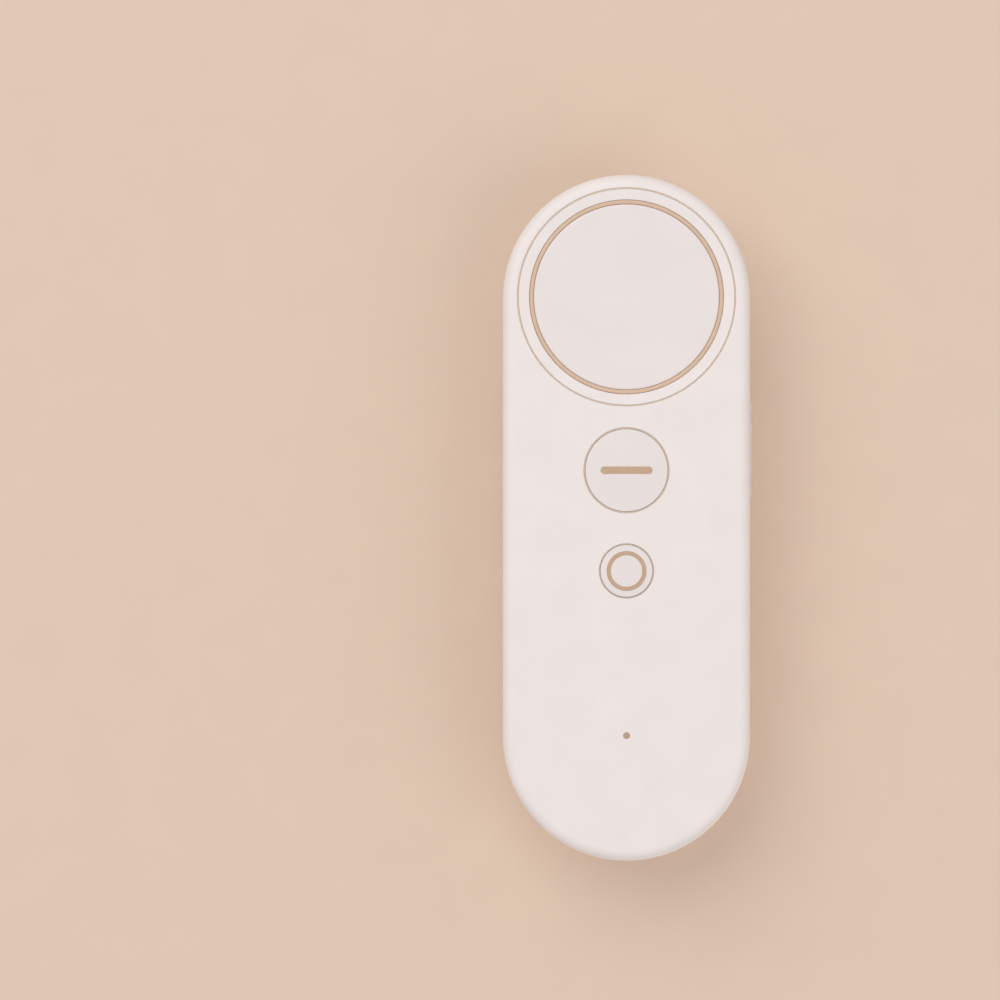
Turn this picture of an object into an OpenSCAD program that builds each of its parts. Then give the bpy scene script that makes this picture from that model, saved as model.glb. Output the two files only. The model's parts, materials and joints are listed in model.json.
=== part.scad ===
// Handheld three-axis motion controller: a pill-shaped remote with a round click touchpad,
// two front buttons, a status light, a side volume rocker, a trigger in a finger scoop at the back
// and two AAA cells under a sliding cover.
// It lies on its back: +Z is the front face, +Y is the touchpad end, z = 0 is the back.

/* [Body] */
// Width across the sides
body_w = 43; // [42.6:0.1:43.4]
// Length over both round ends
body_l = 119.4; // [118.8:0.2:120.4]
// Thickness from back to front
body_t = 20.5; // [20.4:0.1:20.8]
// Thickness of the housing walls
wall = 1.6; // [1.5:0.1:1.6]
// Height of the seam between the two housings
split_z = 11; // [11:0.1:11.2]

/* [Touchpad] */
// Radius of the touch surface
pad_r = 16.15; // [15.95:0.05:16.15]
// Click travel
pad_travel = 0.5; // [0.3:0.1:0.5]

/* [Buttons] */
// Radius of the menu button
menu_r = 7.15; // [6.9:0.05:7.15]
// Radius of the home button
home_r = 4.55; // [4.35:0.1:4.55]
// Travel of the menu and home buttons
button_travel = 0.4; // [0.2:0.1:0.4]

/* [Trigger] */
// Depth of the finger scoop in the back
scoop_depth = 4.5; // [4.3:0.1:4.5]
// Width of the trigger
trigger_w = 13; // [12:0.5:13]

/* [Battery cover] */
// Half width of the cover at the back face
cover_half_w = 15.4; // [15.2:0.1:15.4]
// Gap between the cover and the housing
cover_gap = 0.2; // [0.15:0.05:0.2]

/* [Hidden] */
$fn = 96;
small_fn = 48;

// Colours
white_plastic = [0.93, 0.90, 0.88];
tan_accent = [0.81, 0.67, 0.56];
dark_plastic = [0.16, 0.16, 0.17];
board_green = [0.10, 0.30, 0.20];
chip_black = [0.08, 0.08, 0.09];
steel = [0.75, 0.75, 0.76];
cell_wrap = [0.25, 0.27, 0.30];

// Outline of the body
half_w = body_w / 2;
end_y = (body_l - body_w) / 2;
front_r = 2;
back_r = 11;

// Seam between the housings: a tongue on the front one in a step of the rear one
lip_t = 0.7;
lip_h = 1.2;
lip_gap = 0.1;
seam_groove = 0.35;

// Front features, from the touchpad end down
pad_y = end_y + 0.17;
menu_y = 8.25;
home_y = -9.25;
light_y = -37.85;
light_r = 0.57;
front_in = body_t - wall;

// Touchpad stack
ring_in = pad_r + 0.04;
ring_out = ring_in + 0.62;
bezel_in = ring_out + 0.1;
bezel_out = bezel_in + 1.84;
bezel_seat_r = bezel_out + 0.26;
bezel_skirt_r = bezel_out - 0.6;
ledge_t = 0.5;
pad_top = body_t - 0.2;
pad_dish = 0.28;
pad_edge_r = 0.3;
carrier_bottom = front_in - 1.4;
carrier_top = front_in - 0.2;
sensor_top = carrier_top + 0.6;
flange_r = bezel_skirt_r - 0.3;
flange_top = carrier_bottom + 0.6;

// Front buttons
hole_chamfer = 0.1;
line_menu = 0.3;
line_home = 0.22;
seal_gap = 0.05;
cap_top = body_t + 0.25;
cap_dome_r = 120;
dome_fn = 1500;
cap_edge_r = 0.35;
cap_bottom = front_in - 1.9;
cap_flange_top = cap_bottom + 0.8;
bar_l = 8.9;
bar_w = 1.2;
home_ring_in = 2.78;
home_ring_w = 0.64;
mark_depth = 0.6;
mark_proud = 0.03;
seal_drop = 0.1;
seal_bottom = front_in - 1;

// Main board
board_z = 14.6;
board_t = 1;
board_top = board_z + board_t;
board_half_w = 16.8;
switch_h = 0.9;
plunger_r = 1.2;
plunger_gap = 0.1;

// Battery deck, tray and cells
deck_t = 1.2;
deck_z = 4.6;
deck_top = deck_z + deck_t;
cover_y = 12;
cover_flare = 0.9;
pocket_half_w = 11;
pocket_y = [-48.2, 1.2];
tray_wall = 1.2;
tray_ceiling = 12.7;
tray_top = 13.7;
cell_r = 5.25;
cell_l = 44.5;
cell_nub = 1;
cell_x = 5.4;
cell_z = 7.15;
plate_t = 0.3;
coil_wire = 0.3;
board_screw_y = [-20, -43.5];

// Housing screws
screw_points = [[13, 7.5], [-13, 7.5], [0, -51.7]];
screw_r = 1;
boss_top = 9;

// Snap tabs at the touchpad end, as angles round the end's centre
snap_angles = [60, 120];
snap_r = 18.8;
snap_half_w = 2.2;
snap_z = [7.2, 8.4];

// Board posts in the rear housing
post_x = 13;
post_y = 28;

// Trigger and finger scoop
scoop_r = 26;
scoop_y = 29;
brow_r = 6;
pivot_y = 40;
pivot_z = 7.5;
pin_r = 1;
pin_l = 19.6;
trigger_y = [18.4, 41.2];
trigger_low = 0.5;
trigger_crown_r = 26;
trigger_top = 8;
trigger_floor = 3.4;
trigger_wall = 1.5;
slot_gap = 0.4;
spring_y = 22;
spring_wire = 0.25;
bridge_z = [11.6, 13.2];
magnet_y = 31.5;
magnet_h = 1.5;

// Volume rocker
rocker_y = 12;
rocker_z = 14.8;
rocker_half_l = 8.8;
rocker_half_h = 2;
rocker_proud = 0.4;
rocker_x = 18.6;
rocker_pin_r = 0.5;
rocker_switch_y = 5.5;
rocker_switch_z = 16.2;

// Lanyard holes
lanyard_x = 2.7;
lanyard_z = 7.6;
lanyard_r = 1.1;

// ---- Shared shapes ----

module disc(c, r) {
    translate(c) circle(r);
}

// Quarter of a disc about c, towards +x and towards y * side
module quarter(c, r, side) {
    translate(c) intersection() {
        circle(r);
        mirror([0, side < 0 ? 1 : 0]) square(r + 1);
    }
}

// Right half of the body's cross-section, drawn in from the outer surface by inset
module half_section(inset) {
    fc = [half_w - front_r, body_t - front_r];
    bc = [half_w - back_r, back_r];
    translate([0, inset]) square([bc[0], body_t - 2 * inset]);
    translate([0, bc[1]]) square([fc[0], body_t - inset - bc[1]]);
    translate([0, bc[1]]) square([half_w - inset, fc[1] - bc[1]]);
    quarter(fc, front_r - inset, 1);
    quarter(bc, back_r - inset, -1);
}

// A half section swept round the pill outline
module pill() {
    for (turn = [0, 180])
        rotate([0, 0, turn]) translate([0, end_y, 0]) rotate_extrude(angle = 180) children();
    rotate([90, 0, 0]) linear_extrude(height = 2 * end_y, center = true) {
        children();
        mirror([1, 0]) children();
    }
}

module rounded_rect(size, r) {
    translate([-size[0] / 2 + r, -size[1] / 2]) square([size[0] - 2 * r, size[1]]);
    translate([-size[0] / 2, -size[1] / 2 + r]) square([size[0], size[1] - 2 * r]);
    for (sx = [-1, 1], sy = [-1, 1])
        translate([sx * (size[0] / 2 - r), sy * (size[1] / 2 - r)]) circle(r);
}

// A box between two corners
module block(low, high) {
    translate(low) cube(high - low);
}

module ring(r_in, r_out, z0, z1) {
    translate([0, 0, z0]) difference() {
        cylinder(r = r_out, h = z1 - z0);
        translate([0, 0, -1]) cylinder(r = r_in, h = z1 - z0 + 2);
    }
}

module at_y(y) {
    translate([0, y, 0]) children();
}

// A cylinder along X, centred on x = 0
module rod_x(r, length, y, z) {
    translate([0, y, z]) rotate([0, 90, 0]) cylinder(r = r, h = length, center = true);
}

// A round wire wound along +Z, tapering from radius r0 to r1
module coil(r0, r1, length, turns, wire, sides = 8, per_turn = 18) {
    n = turns * per_turn;
    points = [for (i = [0:n], j = [0:sides - 1])
        let (a = 360 * i / per_turn, t = 360 * j / sides, r = r0 + (r1 - r0) * i / n + wire * cos(t))
        [r * cos(a), r * sin(a), length * i / n + wire * sin(t)]];
    walls = [for (i = [0:n - 1], j = [0:sides - 1])
        let (k = (j + 1) % sides)
        [i * sides + j, i * sides + k, (i + 1) * sides + k, (i + 1) * sides + j]];
    caps = [[for (j = [sides - 1:-1:0]) j], [for (j = [0:sides - 1]) n * sides + j]];
    polyhedron(points = points, faces = concat(walls, caps), convexity = 6);
}

// ---- Housings ----

module seam_notch() {
    translate([half_w, split_z]) rotate(45) square(seam_groove, center = true);
}

module front_section() {
    difference() {
        half_section(0);
        half_section(wall);
        translate([-1, -1]) square([half_w + 2, split_z + 1]);
        seam_notch();
    }
    translate([half_w - wall, split_z - lip_h]) square([lip_t, lip_h + 0.3]);
}

module rear_section() {
    difference() {
        intersection() {
            half_section(0);
            square([half_w + 1, split_z]);
        }
        seam_notch();
    }
}

module rear_cavity_section() {
    intersection() {
        half_section(wall);
        square([half_w, split_z + 1]);
    }
    translate([half_w - wall - 0.5, split_z - lip_h - lip_gap])
        square([0.5 + lip_t + lip_gap, lip_h + 2]);
}

module screw_post() {
    difference() {
        translate([0, 0, boss_top]) cylinder(r = 2, h = front_in + 0.3 - boss_top);
        translate([0, 0, boss_top - 1]) cylinder(r = screw_r + 0.05, h = 8);
    }
}

module rocker_slot(half_l, half_h, x0, x1) {
    translate([x0, rocker_y, rocker_z]) rotate([90, 0, 90]) linear_extrude(height = x1 - x0) {
        square([2 * (half_l - half_h), 2 * half_h], center = true);
        for (s = [-1, 1]) disc([s * (half_l - half_h), 0], half_h);
    }
}

// A round hole down from the front face to z0, with a small chamfer at its rim
module face_hole(r, z0) {
    c = hole_chamfer;
    translate([0, 0, z0]) cylinder(r = r, h = 5);
    translate([0, 0, body_t - c]) cylinder(r1 = r, r2 = r + 2 * c, h = 2 * c);
}

module rocker_rib(z0, z1) {
    difference() {
        block([rocker_x - 1, rocker_y - 1.2, z0], [half_w - wall + 0.4, rocker_y + 1.2, z1]);
        translate([rocker_x, rocker_y, z0 - 1]) cylinder(r = rocker_pin_r, h = z1 - z0 + 2);
    }
}

module front_housing() {
    color(white_plastic) difference() {
        union() {
            pill() front_section();
            at_y(pad_y) ring(bezel_skirt_r + 0.1, half_w - wall + 0.2, front_in - 1, front_in + 0.2);
            for (p = screw_points) translate(p) screw_post();
            at_snaps() {
                block([snap_r - 1.2, -snap_half_w, snap_z[0]], [snap_r, snap_half_w, front_in - 0.5]);
                block([snap_r - 0.5, -snap_half_w, snap_z[0]], [snap_r + 1.2, snap_half_w, snap_z[1]]);
            }
            rocker_rib(rocker_z + rocker_half_h + 0.2, front_in + 0.2);
            rocker_rib(split_z + 0.1, rocker_z - rocker_half_h - 0.2);
        }
        at_y(pad_y) translate([0, 0, front_in - 2]) cylinder(r = bezel_skirt_r + 0.1, h = 5);
        at_y(pad_y) face_hole(bezel_seat_r, front_in + ledge_t);
        at_y(menu_y) face_hole(menu_r + line_menu, front_in - 0.5);
        at_y(home_y) face_hole(home_r + line_home, front_in - 0.5);
        at_y(light_y) translate([0, 0, front_in - 0.5]) cylinder(r = light_r + 0.02, h = 5);
        rocker_slot(rocker_half_l + 0.3, rocker_half_h + 0.2, half_w - wall - 0.5, half_w + 1);
    }
}

// Places its child at each snap tab, with +X pointing outwards
module at_snaps() {
    for (a = snap_angles) at_y(end_y) rotate([0, 0, a]) children();
}

// Cross-section of the battery cover's opening, wider inside than outside so the cover can't drop out
module cover_section(inset) {
    low = cover_half_w - inset;
    high = cover_half_w + cover_flare - inset;
    polygon([
        [-low, -1], [low, -1], [low, 0.9], [high, 3.6], [high, deck_z - inset],
        [-high, deck_z - inset], [-high, 3.6], [-low, 0.9]
    ]);
}

module cover_prism(inset) {
    y0 = -half_w - end_y - 2;
    y1 = cover_y - inset;
    translate([0, y1, 0]) rotate([90, 0, 0]) linear_extrude(height = y1 - y0) cover_section(inset);
}

module deck() {
    intersection() {
        pill() half_section(wall / 2);
        union() {
            block([-half_w, -half_w - end_y, deck_z], [half_w, cover_y + deck_t, deck_top]);
            block([-half_w, cover_y, 0], [half_w, cover_y + deck_t, deck_top]);
            block([-5.4, -58.9, deck_z], [5.4, -54, split_z - lip_h - 2 * lip_gap]);
        }
    }
    for (p = screw_points) translate([p[0], p[1], deck_z])
        cylinder(r = 2.2, h = boss_top - deck_z, $fn = small_fn);
}

// The finger scoop's profile along the body, with rounded brows where it runs out into the back.
// Each brow bites a little into the scoop and the back face, so the curves cross cleanly.
module scoop_profile() {
    centre_z = scoop_depth - scoop_r;
    brow_z = brow_r - 0.02;
    reach = scoop_r + brow_r - 0.05;
    brow_y = sqrt(pow(reach, 2) - pow(brow_z - centre_z, 2));
    share = (scoop_r - 0.025) / reach;
    meet = [brow_y * share, centre_z + (brow_z - centre_z) * share];
    difference() {
        union() {
            disc([0, centre_z], scoop_r);
            polygon([
                [-brow_y, -2], [brow_y, -2], [brow_y, 0.02], meet,
                [0, meet[1]], [-meet[0], meet[1]], [-brow_y, 0.02]
            ]);
        }
        for (s = [-1, 1]) disc([s * brow_y, brow_z], brow_r);
    }
}

module scoop() {
    at_y(scoop_y) rotate([90, 0, 90]) linear_extrude(height = body_w + 4, center = true) scoop_profile();
}

// Ears for the trigger's pin, and a bridge over its free end for the spring
module trigger_mounts() {
    for (s = [-1, 1]) {
        difference() {
            translate([s * 8.6, 0, 0]) block([-1.2, 37.4, 1.8], [1.2, 42.6, 10.2]);
            rod_x(pin_r, pin_l + 4, pivot_y, pivot_z, $fn = small_fn);
        }
        translate([s * 8.4, 0, 0]) block([-1, spring_y - 2, 3], [1, spring_y + 2, bridge_z[1]]);
    }
    block([-9.4, spring_y - 2, bridge_z[0]], [9.4, spring_y + 2, bridge_z[1]]);
    translate([0, spring_y, bridge_z[0] - 0.8]) cylinder(r = 1.2, h = 1, $fn = small_fn);
}

module board_posts() {
    low = scoop_depth + wall / 2;
    for (s = [-1, 1]) translate([s * post_x, post_y, 0]) {
        translate([0, 0, low]) cylinder(r = 1.6, h = board_z - low, $fn = small_fn);
        translate([0, 0, board_z - 1]) cylinder(r = 0.9, h = 2, $fn = small_fn);
    }
}

module rear_housing() {
    color(white_plastic) difference() {
        union() {
            difference() {
                pill() rear_section();
                difference() {
                    pill() rear_cavity_section();
                    rod_x(scoop_r + wall, body_w + 4, scoop_y, scoop_depth - scoop_r);
                }
            }
            deck();
            trigger_mounts();
            board_posts();
        }
        cover_prism(0);
        block([-pocket_half_w, pocket_y[0], 0], [pocket_half_w, pocket_y[1], deck_top + 1]);
        for (p = screw_points) translate([p[0], p[1], 0]) cylinder(r = screw_r + 0.1, h = 12, $fn = small_fn);
        scoop();
        translate([0, (trigger_y[0] + trigger_y[1]) / 2, -1]) linear_extrude(height = trigger_top)
            rounded_rect([trigger_w + 2 * slot_gap, trigger_y[1] - trigger_y[0] + 4.5 * slot_gap], 3.2);
        block([-2.3, cover_y - 1, 1.9], [2.3, cover_y + deck_t + 1, 3.3]);
        at_snaps() block([snap_r - 1, -snap_half_w - 0.2, snap_z[0] - 0.2],
            [snap_r + 1.4, snap_half_w + 0.2, snap_z[1] + 0.2]);
        block([-3.9, -57, lanyard_z - 1.2], [3.9, -55.6, lanyard_z + 1.2]);
        for (s = [-1, 1]) translate([s * lanyard_x, -56.3, lanyard_z])
            rotate([90, 0, 0]) cylinder(r = lanyard_r, h = 6, $fn = small_fn);
    }
}

module battery_cover() {
    color(white_plastic) difference() {
        union() {
            intersection() {
                difference() {
                    pill() half_section(0);
                    pill() half_section(wall);
                }
                cover_prism(cover_gap);
            }
            block([-2, 8.5, 1.2], [2, cover_y - 0.4, 3]);
            block([-2, 11, 2.1], [2, cover_y + 2, 3]);
            for (s = [-1, 1])
                block([s * 12.5 - 0.5, -36, 1.6], [s * 12.5 + 0.5, 4, deck_z - cover_gap]);
        }
        for (i = [0:4]) rod_x(0.5, 11, 7.4 - 1.7 * i, -0.1);
        translate([0, -5, -1]) linear_extrude(height = 1.3) polygon([[-3, 0], [3, 0], [0, -3]]);
    }
}

module battery_tray() {
    outer = [pocket_half_w + tray_wall, pocket_y[0] - tray_wall, pocket_y[1] + tray_wall];
    color(dark_plastic) difference() {
        union() {
            block([-outer[0], outer[1], deck_top], [outer[0], outer[2], tray_top]);
            for (sx = [-1, 1], y = [-40, -4])
                translate([sx * 10, y, tray_top]) cylinder(r = 1.5, h = board_z - tray_top);
            for (y = board_screw_y) translate([0, y, tray_top]) cylinder(r = 1.7, h = board_z - tray_top);
        }
        difference() {
            block([-pocket_half_w, pocket_y[0], 0], [pocket_half_w, pocket_y[1], tray_ceiling]);
            for (y = board_screw_y) translate([0, y, 11.2]) cylinder(r = 1.5, h = 3);
        }
        for (y = board_screw_y) translate([0, y, 11]) cylinder(r = 0.75, h = 5);
        for (s = [-1, 1]) block([s * cell_x - 1.2, pocket_y[1] - plate_t - 0.1, tray_ceiling - 1],
            [s * cell_x + 1.2, pocket_y[1] + 0.1, tray_top + 1]);
    }
}

// ---- Touchpad ----

module touchpad_bezel() {
    color(white_plastic) at_y(pad_y) rotate_extrude() polygon([
        [bezel_in, flange_top + 0.1], [bezel_skirt_r, flange_top + 0.1],
        [bezel_skirt_r, front_in + ledge_t], [bezel_out, front_in + ledge_t],
        [bezel_out, body_t - 0.06], [bezel_out - 0.06, body_t],
        [bezel_in + 0.08, body_t - 0.12], [bezel_in, body_t - 0.2]
    ]);
}

module touchpad_seal() {
    color(tan_accent) at_y(pad_y)
        ring(bezel_out + 0.02, bezel_seat_r - 0.02, front_in + ledge_t, body_t - seal_drop);
}

module touchpad_surface() {
    rim = pad_r - pad_edge_r;
    steps = 8;
    edge = [for (a = [0:15:90]) [rim + pad_edge_r * cos(a), pad_top - pad_edge_r * (1 - sin(a))]];
    dish = [for (i = [steps - 1:-1:0]) [rim * i / steps, pad_top - pad_dish * (1 - pow(i / steps, 2))]];
    color(white_plastic) at_y(pad_y) rotate_extrude()
        polygon(concat([[0, sensor_top], [pad_r, sensor_top]], edge, dish));
}

module touchpad_ring() {
    mid = (ring_in + ring_out) / 2;
    half = (ring_out - ring_in) / 2;
    color(tan_accent) at_y(pad_y) rotate_extrude() union() {
        translate([ring_in, carrier_top]) square([2 * half, pad_top - 0.25 - carrier_top]);
        translate([mid, pad_top - 0.25]) intersection() {
            circle(half);
            translate([-1, 0]) square([2, 1]);
        }
    }
}

module touchpad_sensor_board() {
    color(board_green) at_y(pad_y) translate([0, 0, carrier_top])
        cylinder(r = pad_r - 0.3, h = sensor_top - carrier_top);
}

module touchpad_carrier() {
    color(tan_accent) at_y(pad_y) difference() {
        union() {
            translate([0, 0, carrier_bottom]) cylinder(r = flange_r, h = flange_top - carrier_bottom);
            translate([0, 0, carrier_bottom]) cylinder(r = ring_out, h = carrier_top - carrier_bottom);
        }
        block([-4.5, -15.3, 0], [4.5, -14.1, carrier_top + 1]);
        for (a = [45:90:315]) rotate(a) translate([9, 0, carrier_bottom - 1]) cylinder(r = 2.5, h = 1.5);
    }
}

module touchpad_flex() {
    color([0.55, 0.36, 0.12]) at_y(pad_y)
        block([-4, -14.8, board_top + 0.7], [4, -14.6, carrier_top]);
}

// The pin that presses a switch, which reaches the switch's base at full travel
module plunger(top, travel) {
    bottom = board_top + plunger_gap + travel;
    color(chip_black) translate([0, 0, bottom]) cylinder(r = plunger_r, h = top - bottom);
}

module tact_switch(size) {
    color(steel) translate([0, 0, board_top]) difference() {
        translate([0, 0, switch_h / 2]) cube([size, size, switch_h], center = true);
        translate([0, 0, -1]) cylinder(r = plunger_r + plunger_gap, h = switch_h + 2);
    }
}

// ---- Front buttons ----

// A round cap about its own axis: flange below, rounded top edge, shallow domed top
module cap(r, flange) {
    rotate_extrude() intersection() {
        union() {
            translate([0, cap_bottom]) square([flange, cap_flange_top - cap_bottom]);
            translate([0, cap_bottom]) square([r, cap_top - cap_edge_r - cap_bottom]);
            translate([0, cap_bottom]) square([r - cap_edge_r, cap_top - cap_bottom]);
            quarter([r - cap_edge_r, cap_top - cap_edge_r], cap_edge_r, 1);
        }
        disc([0, cap_top - cap_dome_r], cap_dome_r, $fn = dome_fn);
    }
}

module bar_outline(grow) {
    square([bar_l - bar_w, bar_w + 2 * grow], center = true);
    for (s = [-1, 1]) disc([s * (bar_l - bar_w) / 2, 0], bar_w / 2 + grow);
}

module menu_button() {
    color(white_plastic) at_y(menu_y) difference() {
        cap(menu_r, menu_r + 1.1);
        translate([0, 0, cap_top - mark_depth]) linear_extrude(height = 2) bar_outline(0.02);
    }
}

module menu_button_bar() {
    color(tan_accent) at_y(menu_y) translate([0, 0, cap_top - mark_depth])
        linear_extrude(height = mark_depth + mark_proud) bar_outline(0);
}

module home_button() {
    color(white_plastic) at_y(home_y) difference() {
        cap(home_r, home_r + 1);
        ring(home_ring_in - 0.02, home_ring_in + home_ring_w + 0.02, cap_top - mark_depth, cap_top + 1);
    }
}

module home_button_ring() {
    color(tan_accent) at_y(home_y)
        ring(home_ring_in, home_ring_in + home_ring_w, cap_top - mark_depth, cap_top + mark_proud);
}

// A silicone sheet under the face, with a collar up through each button's hole
module button_seal() {
    sheet_h = front_in - seal_bottom;
    collar_h = body_t - seal_drop - seal_bottom;
    color(tan_accent) difference() {
        union() {
            translate([0, menu_y, seal_bottom]) cylinder(r = menu_r + 2.4, h = sheet_h);
            translate([0, home_y, seal_bottom]) cylinder(r = home_r + 2.4, h = sheet_h);
            block([-4, home_y, seal_bottom], [4, menu_y, front_in]);
            translate([0, menu_y, seal_bottom]) cylinder(r = menu_r + line_menu - 0.03, h = collar_h);
            translate([0, home_y, seal_bottom]) cylinder(r = home_r + line_home - 0.03, h = collar_h);
        }
        at_y(menu_y) translate([0, 0, seal_bottom - 1]) cylinder(r = menu_r + seal_gap, h = 5);
        at_y(home_y) translate([0, 0, seal_bottom - 1]) cylinder(r = home_r + seal_gap, h = 5);
    }
}

module status_light_pipe() {
    color(tan_accent) at_y(light_y) {
        translate([0, 0, board_top + 0.7]) cylinder(r = light_r, h = body_t - 0.02 - board_top - 0.7);
        translate([0, 0, front_in - 1]) cylinder(r = 1.4, h = 1);
    }
}

module status_led() {
    color([0.95, 0.95, 0.90]) at_y(light_y) translate([0, 0, board_top + 0.3])
        cube([1.6, 0.8, 0.6], center = true);
}

// ---- Board and electronics ----

module main_board() {
    y_top = 50;
    y_low = -46.5;
    color(board_green) difference() {
        translate([0, 0, board_z]) linear_extrude(height = board_t) {
            translate([-board_half_w, y_low + 6]) square([2 * board_half_w, end_y - y_low - 6]);
            translate([0, y_low + 6]) rounded_rect([2 * board_half_w, 12], 5);
            intersection() {
                disc([0, end_y], board_half_w);
                translate([-20, end_y]) square([40, y_top - end_y]);
            }
        }
        for (p = screw_points) translate([p[0], p[1], board_z - 1]) cylinder(r = 2.4, h = 3);
        for (y = board_screw_y) translate([0, y, board_z - 1]) cylinder(r = 0.9, h = 3);
        for (s = [-1, 1]) translate([s * post_x, post_y, board_z - 1]) cylinder(r = 1, h = 3);
    }
}

module chip(at, size) {
    translate([at[0] - size[0] / 2, at[1] - size[1] / 2, board_top]) cube(size);
}

module processor() {
    color(chip_black) chip([-9, -24], [7, 7, 0.9]);
}

module motion_sensor() {
    color(chip_black) chip([0, -28], [3, 2.5, 0.9]);
}

module compass_sensor() {
    color(chip_black) chip([-12, 46], [2, 2, 0.9]);
}

module radio_module() {
    color(steel) chip([9.5, -26], [8, 11, 1.6]);
}

module board_passives() {
    color([0.72, 0.62, 0.45]) {
        for (i = [0:5]) chip([-13.5 + 1.8 * i, -18], [1, 0.5, 0.5]);
        for (i = [0:5]) chip([-13.5 + 1.8 * i, -30.5], [1, 0.5, 0.5]);
        for (i = [0:3]) chip([14.5, -38 + 1.6 * i], [0.5, 1, 0.5]);
        for (i = [0:3]) chip([-8 + 1.8 * i, -36], [1.6, 0.8, 0.8]);
        chip([5, -34], [2, 1.6, 0.5]);
    }
}

module flex_connector() {
    color([0.85, 0.82, 0.75]) at_y(pad_y - 14.7) difference() {
        block([-5.2, -1.2, board_top], [5.2, 1.2, board_top + 1.4]);
        block([-4.3, -0.35, board_top - 1], [4.3, 0.35, board_top + 2]);
    }
}

module hall_sensor() {
    color(chip_black) block([-1.5, magnet_y - 1.5, board_z - 1], [1.5, magnet_y + 1.5, board_z]);
}

// ---- Trigger ----

module trigger() {
    length = trigger_y[1] - trigger_y[0];
    mid = (trigger_y[0] + trigger_y[1]) / 2;
    inside = trigger_w / 2 - trigger_wall;
    color(white_plastic) difference() {
        union() {
            intersection() {
                translate([0, scoop_y, trigger_low + trigger_crown_r])
                    rotate([90, 0, 0]) sphere(trigger_crown_r);
                translate([0, mid, 0]) linear_extrude(height = trigger_top)
                    rounded_rect([trigger_w, length], 2.8);
            }
            rod_x(2.6, trigger_w - 1, pivot_y, pivot_z);
        }
        rod_x(pin_r + 0.05, trigger_w + 2, pivot_y, pivot_z);
        difference() {
            block([-inside, trigger_y[0] + 1.6, trigger_floor], [inside, pivot_y - 3.4, 12]);
            translate([0, magnet_y, 0]) cylinder(r = 2.4, h = trigger_top);
            translate([0, spring_y, 0]) cylinder(r = 1.2, h = trigger_floor + 1.2);
        }
        translate([0, magnet_y, trigger_top - magnet_h]) cylinder(r = 1.55, h = 3);
    }
}

module trigger_magnet() {
    color(steel) translate([0, magnet_y, trigger_top - magnet_h]) cylinder(r = 1.5, h = magnet_h);
}

module trigger_pin() {
    color(steel) rod_x(pin_r, pin_l, pivot_y, pivot_z);
}

module trigger_spring() {
    low = trigger_floor + spring_wire;
    color(steel) translate([0, spring_y, low])
        coil(1.7, 1.7, bridge_z[0] - spring_wire - low, 6, spring_wire);
}

// ---- Volume rocker ----

module volume_rocker() {
    face = half_w + rocker_proud;
    edge_r = 0.5;
    end = rocker_half_l - edge_r;
    flange = rocker_half_l + 1.1;
    color(white_plastic) difference() {
        union() {
            intersection() {
                rocker_slot(rocker_half_l, rocker_half_h, rocker_x + 0.1, face);
                translate([0, rocker_y, rocker_z]) linear_extrude(height = 10, center = true) union() {
                    translate([rocker_x, -flange]) square([face - edge_r - rocker_x, 2 * flange]);
                    translate([rocker_x, -end]) square([face - rocker_x, 2 * end]);
                    for (s = [-1, 1]) disc([face - edge_r, s * end], edge_r);
                }
            }
            translate([rocker_x, rocker_y, rocker_z]) {
                block([0.1, -flange, -rocker_half_h], [0.7, flange, rocker_half_h]);
                block([-0.9, -1.1, -1.7], [0.6, 1.1, 1.7]);
            }
            for (s = [-1, 1]) translate([rocker_x - 0.5, rocker_y + s * rocker_switch_y, rocker_switch_z])
                rotate([0, 90, 0]) cylinder(r = 0.5, h = 1);
        }
        translate([rocker_x, rocker_y, rocker_z - 5]) cylinder(r = rocker_pin_r + 0.05, h = 10);
    }
}

module volume_marks() {
    x0 = half_w + rocker_proud;
    mark_h = 0.15;
    color(tan_accent) {
        for (s = [-1, 1]) translate([0, rocker_y + s * 5.6, rocker_z])
            block([x0, -0.9, -0.2], [x0 + mark_h, 0.9, 0.2]);
        translate([0, rocker_y + 5.6, rocker_z]) block([x0, -0.2, -0.9], [x0 + mark_h, 0.2, 0.9]);
    }
}

module volume_pin() {
    low = split_z + 0.2;
    color(steel) translate([rocker_x, rocker_y, low]) cylinder(r = rocker_pin_r, h = front_in - low);
}

module volume_switches() {
    for (s = [-1, 1]) translate([0, rocker_y + s * rocker_switch_y, 0]) {
        color(dark_plastic) block([15.2, -1.6, board_top], [17.2, 1.6, board_top + 1.5]);
        color(steel) translate([17.1, 0, rocker_switch_z]) rotate([0, 90, 0]) cylinder(r = 0.5, h = 0.8);
    }
}

// ---- Batteries and contacts ----

// An AAA cell along +Y with its positive nub at y = cell_l
module cell() {
    edge = 0.5;
    can = cell_l - cell_nub;
    color(cell_wrap) rotate([-90, 0, 0]) rotate_extrude() union() {
        translate([0, edge]) square([cell_r, can - 2 * edge]);
        square([cell_r - edge, can]);
        quarter([cell_r - edge, can - edge], edge, 1);
        quarter([cell_r - edge, edge], edge, -1);
        translate([0, can - 1]) square([1.9, cell_nub + 1]);
    }
}

module battery_left() {
    translate([-cell_x, pocket_y[1] - plate_t - cell_l, cell_z]) cell();
}

module battery_right() {
    translate([cell_x, pocket_y[0] + plate_t + cell_l, cell_z]) rotate([0, 0, 180]) cell();
}

module contact_bridge() {
    color(steel) block([-9.6, pocket_y[0], 5], [9.6, pocket_y[0] + plate_t, 11.8]);
}

// The plate at the board end, with a tab up through the tray to the board
module board_contact(s) {
    y1 = pocket_y[1];
    color(steel) {
        block([s * cell_x - 3.8, y1 - plate_t, 5], [s * cell_x + 3.8, y1, 11.8]);
        block([s * cell_x - 1, y1 - plate_t, 11], [s * cell_x + 1, y1, board_z]);
    }
}

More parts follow.
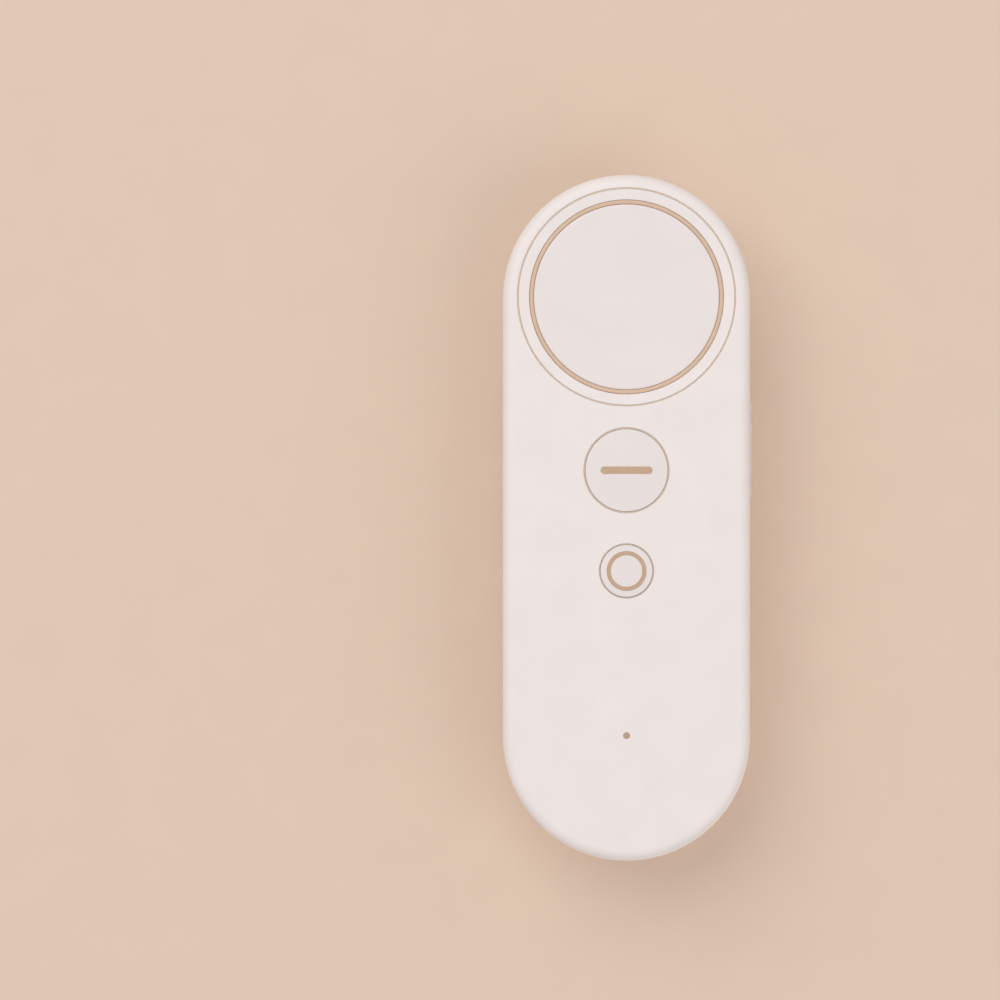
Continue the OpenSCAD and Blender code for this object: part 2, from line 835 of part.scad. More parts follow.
module contact_positive() {
    board_contact(-1);
}

module contact_negative() {
    board_contact(1);
}

// A tapered coil along +Y, wide end at its plate
module battery_spring() {
    gap = pocket_y[1] - pocket_y[0] - 2 * plate_t - cell_l;
    color(steel) rotate([-90, 0, 0]) translate([0, 0, coil_wire])
        coil(3.6, 2.4, gap - 2 * coil_wire, 4, coil_wire);
}

module battery_spring_left() {
    translate([-cell_x, pocket_y[0] + plate_t, cell_z]) battery_spring();
}

module battery_spring_right() {
    translate([cell_x, pocket_y[1] - plate_t, cell_z]) rotate([0, 0, 180]) battery_spring();
}

// ---- Fasteners ----

// A pan-head screw pointing up, its head just under z = 0
module screw(r, length, head_r, head_h) {
    color(steel) difference() {
        union() {
            translate([0, 0, -head_h]) cylinder(r = head_r, h = head_h);
            translate([0, 0, -0.2]) cylinder(r = r, h = length + 0.2);
        }
        for (a = [0, 90]) rotate(a) translate([0, 0, -head_h])
            cube([head_r * 1.3, head_r * 0.26, 1.2], center = true);
    }
}

module housing_screws() {
    for (p = screw_points) translate([p[0], p[1], deck_z]) screw(screw_r, 10.5, 1.9, 1.2);
}

module board_screws() {
    for (y = board_screw_y) translate([0, y, board_top]) mirror([0, 0, 1]) screw(0.7, 4, 1.4, 0.8);
}

front_housing();
rear_housing();
battery_cover();
touchpad_bezel();
touchpad_seal();
touchpad_surface();
touchpad_ring();
touchpad_sensor_board();
touchpad_carrier();
touchpad_flex();
at_y(pad_y) plunger(carrier_bottom, pad_travel);  // touchpad_plunger
at_y(pad_y) tact_switch(6);  // touchpad_switch
menu_button();
menu_button_bar();
at_y(menu_y) plunger(cap_bottom, button_travel);  // menu_plunger
at_y(menu_y) tact_switch(5);  // menu_switch
home_button();
home_button_ring();
at_y(home_y) plunger(cap_bottom, button_travel);  // home_plunger
at_y(home_y) tact_switch(5);  // home_switch
button_seal();
status_light_pipe();
status_led();
main_board();
processor();
motion_sensor();
compass_sensor();
radio_module();
board_passives();
flex_connector();
hall_sensor();
trigger();
trigger_magnet();
trigger_pin();
trigger_spring();
volume_rocker();
volume_marks();
volume_pin();
volume_switches();
battery_tray();
battery_left();
battery_right();
contact_bridge();
contact_positive();
contact_negative();
battery_spring_left();
battery_spring_right();
housing_screws();
board_screws();
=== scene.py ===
"""Looks of a handheld motion controller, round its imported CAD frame. Lengths are in metres."""

import json
import math

import bpy
from mathutils import Matrix, Vector


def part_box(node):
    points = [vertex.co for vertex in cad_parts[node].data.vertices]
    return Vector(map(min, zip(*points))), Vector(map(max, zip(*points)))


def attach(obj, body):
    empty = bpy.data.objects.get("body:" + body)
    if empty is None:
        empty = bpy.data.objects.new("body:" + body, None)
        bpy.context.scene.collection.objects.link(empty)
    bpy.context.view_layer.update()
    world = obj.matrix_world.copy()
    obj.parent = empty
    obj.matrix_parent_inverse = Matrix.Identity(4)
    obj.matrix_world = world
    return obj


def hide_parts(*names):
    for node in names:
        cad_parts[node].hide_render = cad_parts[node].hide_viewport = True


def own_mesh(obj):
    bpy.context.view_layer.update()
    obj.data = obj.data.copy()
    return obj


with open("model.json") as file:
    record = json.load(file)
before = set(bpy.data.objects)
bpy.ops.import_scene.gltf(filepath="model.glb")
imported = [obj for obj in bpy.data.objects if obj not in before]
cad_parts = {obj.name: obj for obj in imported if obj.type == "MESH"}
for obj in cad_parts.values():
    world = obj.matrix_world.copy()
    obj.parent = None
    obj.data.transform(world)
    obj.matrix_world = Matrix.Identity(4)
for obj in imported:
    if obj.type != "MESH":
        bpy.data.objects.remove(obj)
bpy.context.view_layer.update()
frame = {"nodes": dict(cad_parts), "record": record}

MM = 0.001
NODES = frame["nodes"]
SLOT_OF = {row["node"]: row["material_slot"] for row in frame["record"]["subparts"]}

# Colours, as linear red, green and blue
WHITE = (0.832, 0.759, 0.741)
TAN = (0.56, 0.37, 0.245)
SILICONE = (0.66, 0.49, 0.37)
# The ring's tan is the tan plastic painted lighter: painted light that offsets the shade in the gap
# round the ring
RING_TAN_PAINTED_LIGHTER = (0.68, 0.48, 0.34)
FLOOR = (0.72, 0.56, 0.44)
BLACK = (0.022, 0.022, 0.024)
NICKEL = (0.68, 0.66, 0.62)
COPPER = (0.72, 0.36, 0.18)
GOLD = (0.78, 0.55, 0.24)

# How much each CAD node's sharp edges are rounded, in millimetres
EDGE_SOFTNESS = {
    "trigger": 0.4, "volume_rocker": 0.2, "battery_tray": 0.15, "battery_cover": 0.12,
    "processor": 0.08, "motion_sensor": 0.06, "compass_sensor": 0.05, "radio_module": 0.15,
    "board_passives": 0.05, "hall_sensor": 0.06, "status_led": 0.05,
    "touchpad_switch": 0.08, "menu_switch": 0.08, "home_switch": 0.08, "volume_switches": 0.08,
    "contact_bridge": 0.06, "contact_positive": 0.06, "contact_negative": 0.06,
    "housing_screws": 0.12, "board_screws": 0.1, "trigger_magnet": 0.1,
}

# Camera: the picture's width at the front face, and the body's offset from its middle
PICTURE_WIDTHS = 4.04
OFFSET_X = 0.5112
OFFSET_Y = 0.0258
SENSOR = 36.0
LENS = 200.0

# Half width of the floor, and the facets of the touchpad's ring
FLOOR_HALF = 3.0
RING_SEGMENTS = 192


# ---- Places in the frame ----

def place(node):
    """A CAD node's centre and size at rest."""
    low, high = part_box(node)
    return (low + high) / 2, high - low


# ---- Camera, light and floor ----

def add_camera():
    """Looks straight down on the front face, with the body right of the middle of the picture."""
    centre, size = place("front_housing")
    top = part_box("front_housing")[1].z
    camera = bpy.data.objects.new("camera", bpy.data.cameras.new("camera"))
    camera.data.sensor_width = SENSOR
    camera.data.lens = LENS
    camera.data.clip_start = 0.05
    camera.data.clip_end = 20
    distance = size.x * PICTURE_WIDTHS * LENS / SENSOR
    camera.location = (centre.x - OFFSET_X * size.x, centre.y + OFFSET_Y * size.y, top + distance)
    bpy.context.scene.collection.objects.link(camera)
    bpy.context.scene.camera = camera


def add_area_light(name, position, size, power, colour=(1, 1, 1)):
    """A square soft light that faces the object."""
    light = bpy.data.objects.new(name, bpy.data.lights.new(name, "AREA"))
    light.data.size = size
    light.data.energy = power
    light.data.color = colour
    light.location = position
    light.rotation_euler = (-Vector(position)).to_track_quat("-Z", "Y").to_euler()
    bpy.context.scene.collection.objects.link(light)


def add_world(colour, strength):
    """Even light from all round."""
    world = bpy.data.worlds.new("studio")
    world.use_nodes = True
    background = world.node_tree.nodes["Background"]
    background.inputs["Color"].default_value = (*colour, 1)
    background.inputs["Strength"].default_value = strength
    bpy.context.scene.world = world


def add_floor():
    """A plain sheet under the controller, clear from below so that the back can be seen."""
    half = FLOOR_HALF
    mesh = bpy.data.meshes.new("floor")
    corners = [(-half, -half, 0), (half, -half, 0), (half, half, 0), (-half, half, 0)]
    mesh.from_pydata(corners, [], [(0, 1, 2, 3)])
    floor = bpy.data.objects.new("floor", mesh)
    bpy.context.scene.collection.objects.link(floor)
    paper = Surface("floor_paper", FLOOR, 0.75)
    paper.mottle(9 * MM, FLOOR, tuple(c * 0.985 for c in FLOOR))
    tree = paper.material.node_tree
    clear = tree.nodes.new("ShaderNodeBsdfTransparent")
    side = tree.nodes.new("ShaderNodeNewGeometry")
    choose = tree.nodes.new("ShaderNodeMixShader")
    output = tree.nodes["Material Output"]
    tree.links.new(side.outputs["Backfacing"], choose.inputs[0])
    tree.links.new(paper.shader.outputs[0], choose.inputs[1])
    tree.links.new(clear.outputs[0], choose.inputs[2])
    tree.links.new(choose.outputs[0], output.inputs["Surface"])
    mesh.materials.append(paper.material)
    floor.visible_shadow = False


# ---- Materials ----

class Surface:
    """A material with a Principled shader whose colour, roughness and relief come from patterns."""

    def __init__(self, name, colour, roughness, metallic=0.0, **sockets):
        self.material = bpy.data.materials.new(name)
        self.material.use_nodes = True
        self.tree = self.material.node_tree
        self.shader = self.tree.nodes["Principled BSDF"]
        self.set("Base Color", (*colour, 1))
        self.set("Roughness", roughness)
        self.set("Metallic", metallic)
        for socket, value in sockets.items():
            self.set(socket.replace("_", " "), value)
        self.place = self.tree.nodes.new("ShaderNodeTexCoord").outputs["Object"]

    def set(self, socket, value):
        """Sets a socket of the shader to a constant."""
        self.shader.inputs[socket].default_value = value

    def join(self, value, socket):
        """Feeds a socket from another node's output, or sets it to a constant."""
        if isinstance(value, bpy.types.NodeSocket):
            self.tree.links.new(value, socket)
        else:
            socket.default_value = value

    def stretched(self, stretch):
        """Object coordinates squeezed along each axis by stretch, for a pattern with a direction."""
        node = self.tree.nodes.new("ShaderNodeMapping")
        self.join(self.place, node.inputs["Vector"])
        node.inputs["Scale"].default_value = stretch
        return node.outputs["Vector"]

    def noise(self, size, detail=2.0, stretch=None):
        """Noise whose features are about size across, from 0 to 1."""
        node = self.tree.nodes.new("ShaderNodeTexNoise")
        node.inputs["Scale"].default_value = 1 / size
        node.inputs["Detail"].default_value = detail
        self.join(self.stretched(stretch) if stretch else self.place, node.inputs["Vector"])
        return node.outputs["Fac"]

    def cells(self, size, feature="F1", distance="EUCLIDEAN"):
        """Distances in a pattern of cells about size across."""
        node = self.tree.nodes.new("ShaderNodeTexVoronoi")
        node.feature = feature
        if feature != "DISTANCE_TO_EDGE":
            node.distance = distance
        node.inputs["Scale"].default_value = 1 / size
        self.join(self.place, node.inputs["Vector"])
        return node.outputs["Distance"]

    def axis(self, name):
        """One of the object's own coordinates, X, Y or Z."""
        node = self.tree.nodes.new("ShaderNodeSeparateXYZ")
        self.join(self.place, node.inputs[0])
        return node.outputs[name]

    def maths(self, operation, a, b=0.0):
        """One arithmetic step on two values."""
        node = self.tree.nodes.new("ShaderNodeMath")
        node.operation = operation
        self.join(a, node.inputs[0])
        self.join(b, node.inputs[1])
        return node.outputs[0]

    def between(self, value, low, high):
        """1 where value lies between low and high, and 0 elsewhere."""
        above = self.maths("GREATER_THAN", value, low)
        below = self.maths("LESS_THAN", value, high)
        return self.maths("MULTIPLY", above, below)

    def remap(self, value, low, high, out_low, out_high):
        """Carries the range low to high over to out_low to out_high, and clamps beyond it."""
        node = self.tree.nodes.new("ShaderNodeMapRange")
        self.join(value, node.inputs["Value"])
        node.inputs["From Min"].default_value = low
        node.inputs["From Max"].default_value = high
        node.inputs["To Min"].default_value = out_low
        node.inputs["To Max"].default_value = out_high
        return node.outputs["Result"]

    def mix(self, factor, first, second):
        """A blend of two colours, each a constant or another blend."""
        node = self.tree.nodes.new("ShaderNodeMix")
        node.data_type = "RGBA"
        self.join(factor, node.inputs["Factor"])
        for value, socket in ((first, node.inputs[6]), (second, node.inputs[7])):
            self.join((*value, 1) if isinstance(value, tuple) else value, socket)
        return node.outputs[2]

    def colour(self, value):
        """Feeds the shader's colour."""
        self.join(value, self.shader.inputs["Base Color"])

    def mottle(self, size, first, second):
        """Faint patches of a second colour."""
        blend = self.mix(self.remap(self.noise(size, 4.0), 0.35, 0.65, 0.0, 1.0), first, second)
        self.colour(blend)
        return blend

    def gloss(self, size, low, high, stretch=None):
        """Roughness that wanders between low and high, as handled or brushed surfaces show."""
        wander = self.noise(size, 5.0, stretch)
        self.join(self.remap(wander, 0.32, 0.68, low, high), self.shader.inputs["Roughness"])

    def relief(self, *layers):
        """Bumps one on another: each layer is a pattern and its depth."""
        normal = None
        for pattern, depth in layers:
            bump = self.tree.nodes.new("ShaderNodeBump")
            bump.inputs["Distance"].default_value = depth
            self.join(pattern, bump.inputs["Height"])
            if normal is not None:
                self.join(normal, bump.inputs["Normal"])
            normal = bump.outputs["Normal"]
        self.join(normal, self.shader.inputs["Normal"])


def shade(colour, factor):
    """A lighter or darker version of a colour."""
    return tuple(c * factor for c in colour)


def shell_plastic():
    """White housing plastic with a fine spark-eroded grain and handling marks in its gloss."""
    made = Surface("shell_plastic", WHITE, 0.45, Specular_IOR_Level=0.4)
    made.mottle(7 * MM, WHITE, shade(WHITE, 0.975))
    made.gloss(11 * MM, 0.40, 0.52)
    made.relief((made.noise(0.30 * MM, 3.0), 0.010 * MM), (made.noise(9 * MM, 1.0), 0.02 * MM))
    return made.material


def pad_plastic():
    """The touch surface: the same white, smoother, with faint finger marks."""
    white = shade(WHITE, 0.965)
    made = Surface("pad_plastic", white, 0.36, Specular_IOR_Level=0.45)
    made.mottle(10 * MM, white, shade(white, 0.98))
    made.gloss(6 * MM, 0.30, 0.46)
    made.relief((made.noise(0.16 * MM, 2.0), 0.004 * MM),)
    return made.material


def key_plastic():
    """Soft gloss caps of the buttons, trigger and rocker, polished where fingers rest."""
    white = shade(WHITE, 0.955)
    made = Surface("key_plastic", white, 0.33, Coat_Weight=0.08, Coat_Roughness=0.2)
    made.mottle(5 * MM, white, shade(white, 0.98))
    made.gloss(5 * MM, 0.30, 0.36)
    made.relief((made.noise(0.2 * MM, 2.0), 0.003 * MM),)
    return made.material


def tan_plastic(name, colour):
    """Tan inlays and the touchpad's ring."""
    made = Surface(name, colour, 0.4)
    made.mottle(1.5 * MM, colour, shade(colour, 0.94))
    made.gloss(2 * MM, 0.34, 0.46)
    made.relief((made.noise(0.15 * MM, 2.0), 0.004 * MM),)
    return made.material


def tan_silicone():
    """Tan silicone of the seals, matt and slightly powdery."""
    made = Surface("tan_silicone", SILICONE, 0.6, Sheen_Weight=0.15, Sheen_Roughness=0.5)
    made.mottle(2 * MM, SILICONE, shade(SILICONE, 0.95))
    made.gloss(1.2 * MM, 0.55, 0.68)
    made.relief((made.noise(0.1 * MM, 3.0), 0.006 * MM),)
    return made.material


def light_guide():
    """The status light's frosted guide."""
    made = Surface("light_guide", TAN, 0.3, Coat_Weight=0.3, Subsurface_Weight=0.2, Subsurface_Scale=MM)
    made.mottle(0.4 * MM, shade(TAN, 0.95), shade(TAN, 0.85))
    made.relief((made.noise(0.08 * MM, 2.0), 0.003 * MM),)
    return made.material


def dark_plastic():
    """Black glass-filled nylon, with fibres in its skin."""
    made = Surface("dark_plastic", BLACK, 0.55)
    made.mottle(1.2 * MM, BLACK, shade(BLACK, 1.8))
    made.gloss(4 * MM, 0.48, 0.62)
    fibres = made.noise(0.12 * MM, 2.0, (1.0, 0.2, 1.0))
    made.relief((fibres, 0.008 * MM), (made.noise(0.5 * MM, 3.0), 0.006 * MM))
    return made.material


def circuit_board():
    """Green solder mask over copper tracks, with gold-plated holes."""
    mask, track = (0.012, 0.085, 0.045), (0.03, 0.17, 0.08)
    made = Surface("circuit_board", mask, 0.35, Coat_Weight=0.4, Coat_Roughness=0.15)
    tracks = made.remap(made.cells(2.4 * MM, "DISTANCE_TO_EDGE"), 0.02, 0.06, 1.0, 0.0)
    blocks = made.remap(made.cells(5 * MM, "F1", "CHEBYCHEV"), 0.42, 0.46, 0.0, 0.6)
    copper = made.maths("MAXIMUM", tracks, blocks)
    holes = made.remap(made.cells(1.7 * MM), 0.10, 0.12, 1.0, 0.0)
    made.colour(made.mix(holes, made.mix(copper, mask, track), GOLD))
    made.gloss(3 * MM, 0.28, 0.4)
    made.relief((copper, 0.03 * MM), (holes, -0.02 * MM))
    return made.material


def flex_film():
    """Amber polyimide with copper tracks along it."""
    film = (0.42, 0.17, 0.03)
    made = Surface("flex_film", film, 0.3, Coat_Weight=0.2)
    stripe = made.maths("SINE", made.maths("MULTIPLY", made.axis("X"), 2 * math.pi / (0.5 * MM)))
    made.colour(made.mix(made.remap(stripe, 0.0, 0.4, 0.0, 1.0), film, shade(COPPER, 0.9)))
    made.gloss(1 * MM, 0.26, 0.38)
    made.relief((stripe, 0.01 * MM),)
    return made.material


def chip_epoxy():
    """Moulded black epoxy of the chips and plungers."""
    made = Surface("chip_epoxy", BLACK, 0.5)
    made.mottle(0.4 * MM, BLACK, shade(BLACK, 1.5))
    made.gloss(0.8 * MM, 0.42, 0.56)
    made.relief((made.noise(0.05 * MM, 3.0), 0.006 * MM),)
    return made.material


def ceramic():
    """Fired ceramic and ivory nylon of the small board parts."""
    body = (0.46, 0.33, 0.2)
    made = Surface("ceramic", body, 0.5)
    made.mottle(0.5 * MM, body, shade(body, 1.25))
    made.gloss(0.5 * MM, 0.4, 0.55)
    made.relief((made.noise(0.06 * MM, 3.0), 0.004 * MM),)
    return made.material


def metal(name, colour, low, high, stretch):
    """Plated sheet or wire, drawn along one direction."""
    made = Surface(name, colour, (low + high) / 2, 1.0)
    made.mottle(3 * MM, colour, shade(colour, 0.9))
    made.gloss(0.25 * MM, low, high, stretch)
    made.relief((made.noise(0.12 * MM, 2.0, stretch), 0.004 * MM),)
    return made.material


def cell_sleeve(length):
    """A battery's shrink sleeve: graphite, a copper band at its positive end and polarity marks."""
    graphite, print_white = (0.03, 0.034, 0.042), (0.6, 0.6, 0.6)
    made = Surface("cell_sleeve", graphite, 0.3, Coat_Weight=0.5, Coat_Roughness=0.1)
    along, across = made.axis("Z"), made.axis("X")
    side = made.maths("LESS_THAN", made.axis("Y"), 0.0)
    band = made.between(along, length * 0.74, length)
    line = made.between(along, length * 0.71, length * 0.72)
    sign_h, bar, arm = length * 0.64, 0.35 * MM, 1.5 * MM

    def bar_at(height, half_along, half_across):
        inside = made.between(along, height - half_along, height + half_along)
        return made.maths("MULTIPLY", inside, made.between(across, -half_across, half_across))

    plus = made.maths("MAXIMUM", bar_at(sign_h, bar, arm), bar_at(sign_h, arm, bar))
    signs = made.maths("MAXIMUM", plus, bar_at(length * 0.1, bar, arm))
    marks = made.maths("MAXIMUM", made.maths("MULTIPLY", signs, side), line)
    patches = made.remap(made.noise(2 * MM, 3.0), 0.3, 0.7, 0.0, 1.0)
    base = made.mix(patches, graphite, shade(graphite, 1.4))
    made.colour(made.mix(marks, made.mix(band, base, COPPER), print_white))
    made.gloss(2.5 * MM, 0.24, 0.36)
    made.relief((made.noise(1.4 * MM, 1.0, (1.0, 1.0, 0.25)), 0.01 * MM),)
    return made.material


# ---- Mesh helpers ----

def finish_mesh(name, mesh, material, body, sharp_deg=35.0):
    """Links a mesh as a smooth-shaded piece that rides on a body."""
    mesh.validate()
    mesh.shade_smooth()
    mesh.set_sharp_from_angle(angle=math.radians(sharp_deg))
    mesh.materials.append(material)
    piece = bpy.data.objects.new(name, mesh)
    bpy.context.scene.collection.objects.link(piece)
    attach(piece, body)
    return piece


def arc(centre, radius, start_deg, end_deg, steps=6):
    """Points of a profile along an arc, as (r, z)."""
    angles = [math.radians(start_deg + (end_deg - start_deg) * i / steps) for i in range(steps + 1)]
    return [(centre[0] + radius * math.cos(a), centre[1] + radius * math.sin(a)) for a in angles]


def lathe(name, profile, turn=Matrix.Identity(4), segments=96):
    """A closed mesh made by turning a profile of (r, z) points, from axis to axis, about Z."""
    points, faces = [], []
    rings = []
    for r, z in profile:
        if r < 1e-9:
            rings.append([len(points)])
            points.append((0, 0, z))
            continue
        rings.append([len(points) + i for i in range(segments)])
        for i in range(segments):
            a = 2 * math.pi * i / segments
            points.append((r * math.cos(a), r * math.sin(a), z))
    for low, high in zip(rings, rings[1:]):
        for i in range(segments):
            j = (i + 1) % segments
            corners = [low[i % len(low)], low[j % len(low)], high[j % len(high)], high[i % len(high)]]
            faces.append(list(dict.fromkeys(corners)))
    mesh = bpy.data.meshes.new(name)
    mesh.from_pydata(points, [], faces)
    mesh.transform(turn)
    return mesh


def closed_lathe(name, loop, segments=96):
    """A ring-shaped mesh made by turning a closed loop of (r, z) points about Z."""
    count = len(loop)
    points, faces = [], []
    for r, z in loop:
        for i in range(segments):
            a = 2 * math.pi * i / segments
            points.append((r * math.cos(a), r * math.sin(a), z))
    for k in range(count):
        n = (k + 1) % count
        for i in range(segments):
            j = (i + 1) % segments
            faces.append((k * segments + i, k * segments + j, n * segments + j, n * segments + i))
    mesh = bpy.data.meshes.new(name)
    mesh.from_pydata(points, [], faces)
    return mesh


def tube(name, centre_line, radius, sides=12):
    """A round wire along a line of points, with its ends rounded off."""
    count = len(centre_line)
    tangents = [(centre_line[min(i + 1, count - 1)] - centre_line[max(i - 1, 0)]).normalized()
                for i in range(count)]
    side = tangents[0].orthogonal().normalized()
    points, faces = [], []

    def ring(centre, across, up, size):
        first = len(points)
        for j in range(sides):
            a = 2 * math.pi * j / sides
            points.append(centre + (across * math.cos(a) + up * math.sin(a)) * radius * size)
        return first

    rings = []
    for i, tangent in enumerate(tangents):
        side = (side - tangent * side.dot(tangent)).normalized()
        up = tangent.cross(side)
        if i == 0:
            rings.append(ring(centre_line[i] - tangent * radius * 0.6, side, up, 0.6))
        rings.append(ring(centre_line[i], side, up, 1.0))
        if i == count - 1:
            rings.append(ring(centre_line[i] + tangent * radius * 0.6, side, up, 0.6))
    for low, high in zip(rings, rings[1:]):
        for j in range(sides):
            k = (j + 1) % sides
            faces.append((low + j, low + k, high + k, high + j))
    faces.append(tuple(rings[0] + j for j in reversed(range(sides))))
    faces.append(tuple(rings[-1] + j for j in range(sides)))
    mesh = bpy.data.meshes.new(name)
    mesh.from_pydata(points, [], faces)
    return mesh


def coil_line(radius_low, radius_high, height, wire, turns, closed_turns=1.0, per_turn=28):
    """The centre line of a compression spring up Z from z = wire, with its end turns closed."""
    steps = int(turns * per_turn)
    free = height - 2 * wire
    closed_rise = 2.04 * wire * closed_turns
    line = []
    for i in range(steps + 1):
        t = turns * i / steps
        if t < closed_turns:
            rise = closed_rise * t / closed_turns
        elif t > turns - closed_turns:
            rise = free - closed_rise * (turns - t) / closed_turns
        else:
            share = (t - closed_turns) / (turns - 2 * closed_turns)
            rise = closed_rise + (free - 2 * closed_rise) * share
        radius = radius_low + (radius_high - radius_low) * t / turns
        a = 2 * math.pi * t
        line.append(Vector((radius * math.cos(a), radius * math.sin(a), wire + rise)))
    return line


# ---- Pieces ----

def touchpad_face(material):
    """The touch surface with its true smooth dish."""
    centre, size = place("touchpad_surface")
    low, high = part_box("touchpad_surface")
    radius, edge, dish = size.x / 2, 0.3 * MM, 0.28 * MM
    rim = radius - edge
    profile = [(0, low.z), (radius - 0.1 * MM, low.z), (radius, low.z + 0.1 * MM)]
    profile += arc((rim, high.z - edge), edge, 0, 90)
    steps = 40
    for i in range(1, steps + 1):
        share = 1 - i / steps
        profile.append((rim * share, high.z - dish * (1 - share ** 2)))
    turn = Matrix.Translation((centre.x, centre.y, 0))
    mesh = lathe("touchpad_face", profile, turn, 160)
    piece = finish_mesh("touchpad_face", mesh, material, "touchpad")
    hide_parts("touchpad_surface")


def touchpad_trim(material):
    """The ring round the touch surface, with a crowned top and a hairline gap to the bezel."""
    low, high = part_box("touchpad_ring")
    centre, size = place("touchpad_ring")
    inner = place("touchpad_surface")[1].x / 2 + 0.02 * MM
    outer = size.x / 2 + 0.06 * MM
    edge = (outer - inner) * 0.3
    loop = [(inner, low.z), (outer, low.z)]
    loop += arc((outer - edge, high.z - edge), edge, 0, 90)
    loop += arc((inner + edge, high.z - edge), edge, 90, 180)
    mesh = closed_lathe("touchpad_trim", loop, RING_SEGMENTS)
    mesh.transform(Matrix.Translation((centre.x, centre.y, 0)))
    piece = finish_mesh("touchpad_trim", mesh, material, "touchpad")
    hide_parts("touchpad_ring")


def cable_socket(material):
    """The flat cable's socket: a low frame round its slot, with a chamfered mouth."""
    low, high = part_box("flex_connector")
    top, lead = high.z - 0.1 * MM, 0.12 * MM
    centre, size = place("flex_connector")
    half_x, half_y, slot_x, slot_y = size.x / 2, size.y / 2, 4.3 * MM, 0.35 * MM

    def corners(x, y, z):
        signs = ((-1, -1), (1, -1), (1, 1), (-1, 1))
        return [(centre.x + i * x, centre.y + j * y, z) for i, j in signs]

    rings = [corners(half_x, half_y, low.z), corners(half_x, half_y, top - lead),
             corners(half_x - lead, half_y - lead, top), corners(slot_x + lead, slot_y + lead, top),
             corners(slot_x, slot_y, top - 2 * lead), corners(slot_x, slot_y, low.z)]
    faces = []
    for k in range(len(rings)):
        n = (k + 1) % len(rings)
        for i in range(4):
            j = (i + 1) % 4
            faces.append((4 * k + i, 4 * k + j, 4 * n + j, 4 * n + i))
    mesh = bpy.data.meshes.new("cable_socket")
    mesh.from_pydata([p for ring in rings for p in ring], [], faces)
    piece = finish_mesh("cable_socket", mesh, material, "housing", 20)
    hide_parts("flex_connector")


def soften(name, width):
    """Rounds a CAD node's sharp edges a little, as moulding, pressing or plating leaves them."""
    bevel = NODES[name].modifiers.new("soft_edges", "BEVEL")
    bevel.width = width
    bevel.segments = 2
    bevel.limit_method = "ANGLE"
    bevel.angle_limit = math.radians(30)


def contact_spring(side, material):
    """A tapered battery spring, wide end at its plate."""
    node = f"battery_spring_{side}"
    low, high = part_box(node)
    centre, size = place(node)
    wire = 0.3 * MM
    wide = size.x / 2 - wire
    line = coil_line(wide, wide * 0.62, size.y, wire, 4.6, 0.8)
    if side == "left":
        turn = Matrix.Translation((centre.x, low.y, centre.z)) @ Matrix.Rotation(-math.pi / 2, 4, "X")
    else:
        turn = Matrix.Translation((centre.x, high.y, centre.z)) @ Matrix.Rotation(math.pi / 2, 4, "X")
    mesh = tube(f"contact_coil_{side}", [turn @ p for p in line], wire)
    piece = finish_mesh(f"contact_coil_{side}", mesh, material, "housing", 60)
    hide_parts(node)


def trigger_return_spring(material):
    """The trigger's spring, a slight cone."""
    low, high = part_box("trigger_spring")
    centre, size = place("trigger_spring")
    wire = 0.15 * MM
    wide, narrow = size.x / 2 - wire - 0.03 * MM, size.x / 2 - wire - 0.33 * MM
    line = coil_line(wide, narrow, size.z, wire, 7.5)
    turn = Matrix.Translation((centre.x, centre.y, low.z))
    mesh = tube("trigger_return_spring", [turn @ p for p in line], wire)
    piece = finish_mesh("trigger_return_spring", mesh, material, "housing", 60)
    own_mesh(piece)
    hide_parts("trigger_spring")


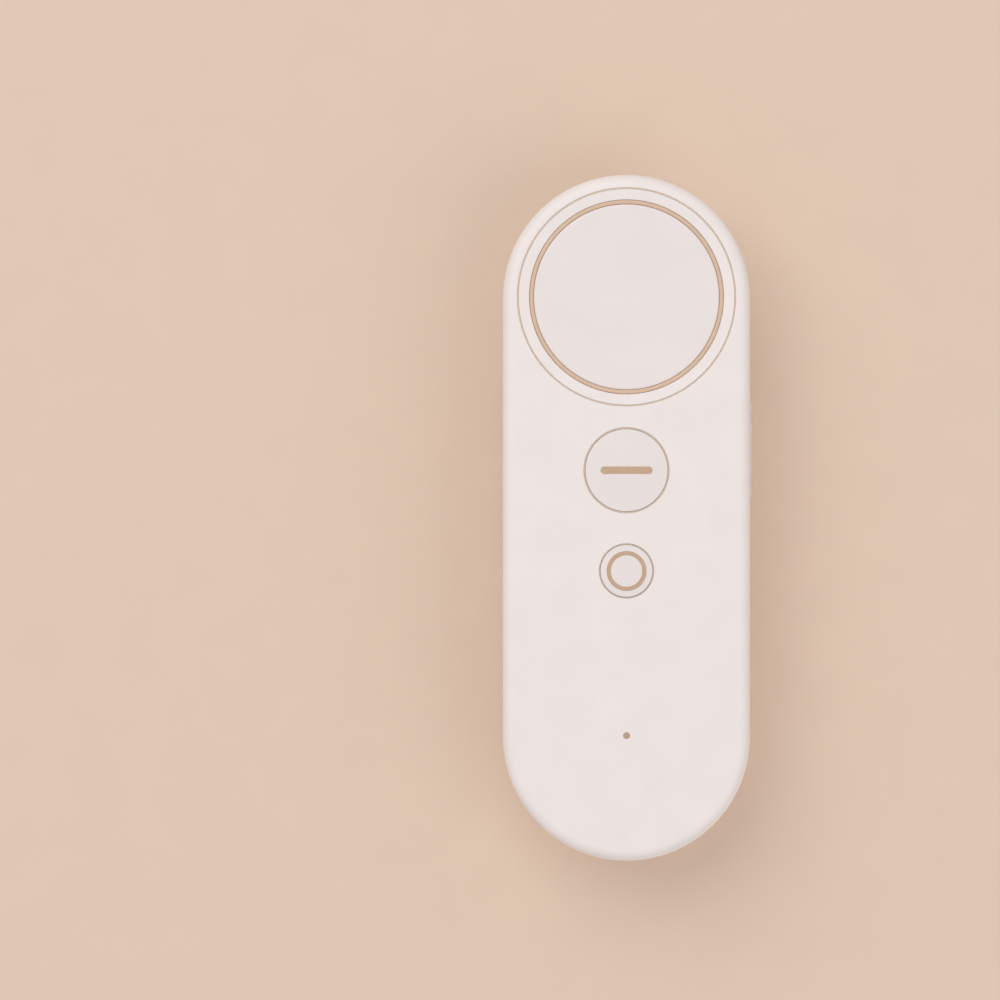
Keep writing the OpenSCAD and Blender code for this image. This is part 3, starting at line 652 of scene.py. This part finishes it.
def battery(side, sleeve, steel):
    """A cell as a printed sleeve over a steel can, with its nub and its dished base."""
    node = f"battery_{side}"
    low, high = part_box(node)
    centre, size = place(node)
    radius, length = size.x / 2, size.y
    nub_h, edge, film = 1.0 * MM, 0.5 * MM, 0.12 * MM
    can = length - nub_h
    lip = radius - 1.0 * MM
    outside = [(lip, 0.10 * MM), (radius - edge, 0.10 * MM)]
    outside += arc((radius - edge, 0.10 * MM + edge), edge, -90, 0)
    outside += arc((radius - edge, can - edge), edge, 0, 90)
    outside += [(lip, can)]
    inside = [(lip, can - film), (radius - edge, can - film), (radius - film, can - edge),
              (radius - film, edge + film), (radius - edge, film + 0.10 * MM), (lip, film + 0.10 * MM)]
    cover = closed_lathe(f"battery_{side}_sleeve", outside + inside)
    base = [(0, 0.25 * MM), (2.6 * MM, 0.25 * MM), (2.9 * MM, 0.02 * MM), (3.9 * MM, 0.02 * MM),
            (4.2 * MM, 0.25 * MM), (radius - 3 * film, 0.25 * MM)]
    nub_r = 1.9 * MM
    top = [(radius - 3 * film, can - 0.25 * MM), (3.6 * MM, can - 0.25 * MM),
           (3.3 * MM, can - 0.05 * MM), (nub_r + 0.5 * MM, can - 0.05 * MM),
           (nub_r, can + 0.15 * MM)]
    top += arc((nub_r - 0.25 * MM, length - 0.25 * MM), 0.25 * MM, 0, 90)
    top += [(0, length)]
    core = lathe(f"battery_{side}_can", base + top)
    # The nub points to +Y on the left cell and to -Y on the right one, and the marks face the cover
    heading = -math.pi / 2 if side == "left" else math.pi / 2
    start = low.y if side == "left" else high.y
    turn = Matrix.Translation((centre.x, start, centre.z)) @ Matrix.Rotation(heading, 4, "X")
    if side == "left":
        turn = turn @ Matrix.Rotation(math.pi, 4, "Z")
    for mesh, material in ((cover, sleeve), (core, steel)):
        piece = finish_mesh(mesh.name, mesh, material, "housing")
        piece.matrix_world = turn
        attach(piece, "housing")
    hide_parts(node)


# ---- The model ----

bpy.context.scene.view_settings.view_transform = "Standard"
add_camera()
add_floor()
add_world((1.0, 0.99, 0.98), 0.64)
add_area_light("key", (-0.6, 0.8, 1.3), 1.5, 12)
add_area_light("fill", (0.9, -0.6, 1.1), 1.2, 4.0)
add_area_light("from_below", (0.25, -0.35, -0.8), 0.9, 5)

by_slot = {
    "shell": shell_plastic(),
    "pad": pad_plastic(),
    "keys": key_plastic(),
    "accent": tan_plastic("tan_plastic", TAN),
    "silicone": tan_silicone(),
    "light": light_guide(),
    "dark": dark_plastic(),
    "board": circuit_board(),
    "flex": flex_film(),
    "chip": chip_epoxy(),
    "passive": ceramic(),
    "shield": metal("shield_can", (0.66, 0.65, 0.63), 0.3, 0.42, (1.0, 0.1, 1.0)),
    "steel": metal("nickel_plate", NICKEL, 0.2, 0.34, (0.15, 1.0, 1.0)),
    "cell": cell_sleeve(place("battery_left")[1].y),
}
for name, node in NODES.items():
    for holder in node.material_slots:
        holder.material = by_slot[SLOT_OF[name]]

for name, width in EDGE_SOFTNESS.items():
    soften(name, width * MM)

touchpad_face(by_slot["pad"])
# The ring gets a lighter copy of the tan plastic, as painted light against the shade of its gap
touchpad_trim(tan_plastic("ring_plastic_painted_lighter", RING_TAN_PAINTED_LIGHTER))
cable_socket(by_slot["passive"])
for side in ("left", "right"):
    contact_spring(side, by_slot["steel"])
    battery(side, by_slot["cell"], by_slot["steel"])
trigger_return_spring(by_slot["steel"])
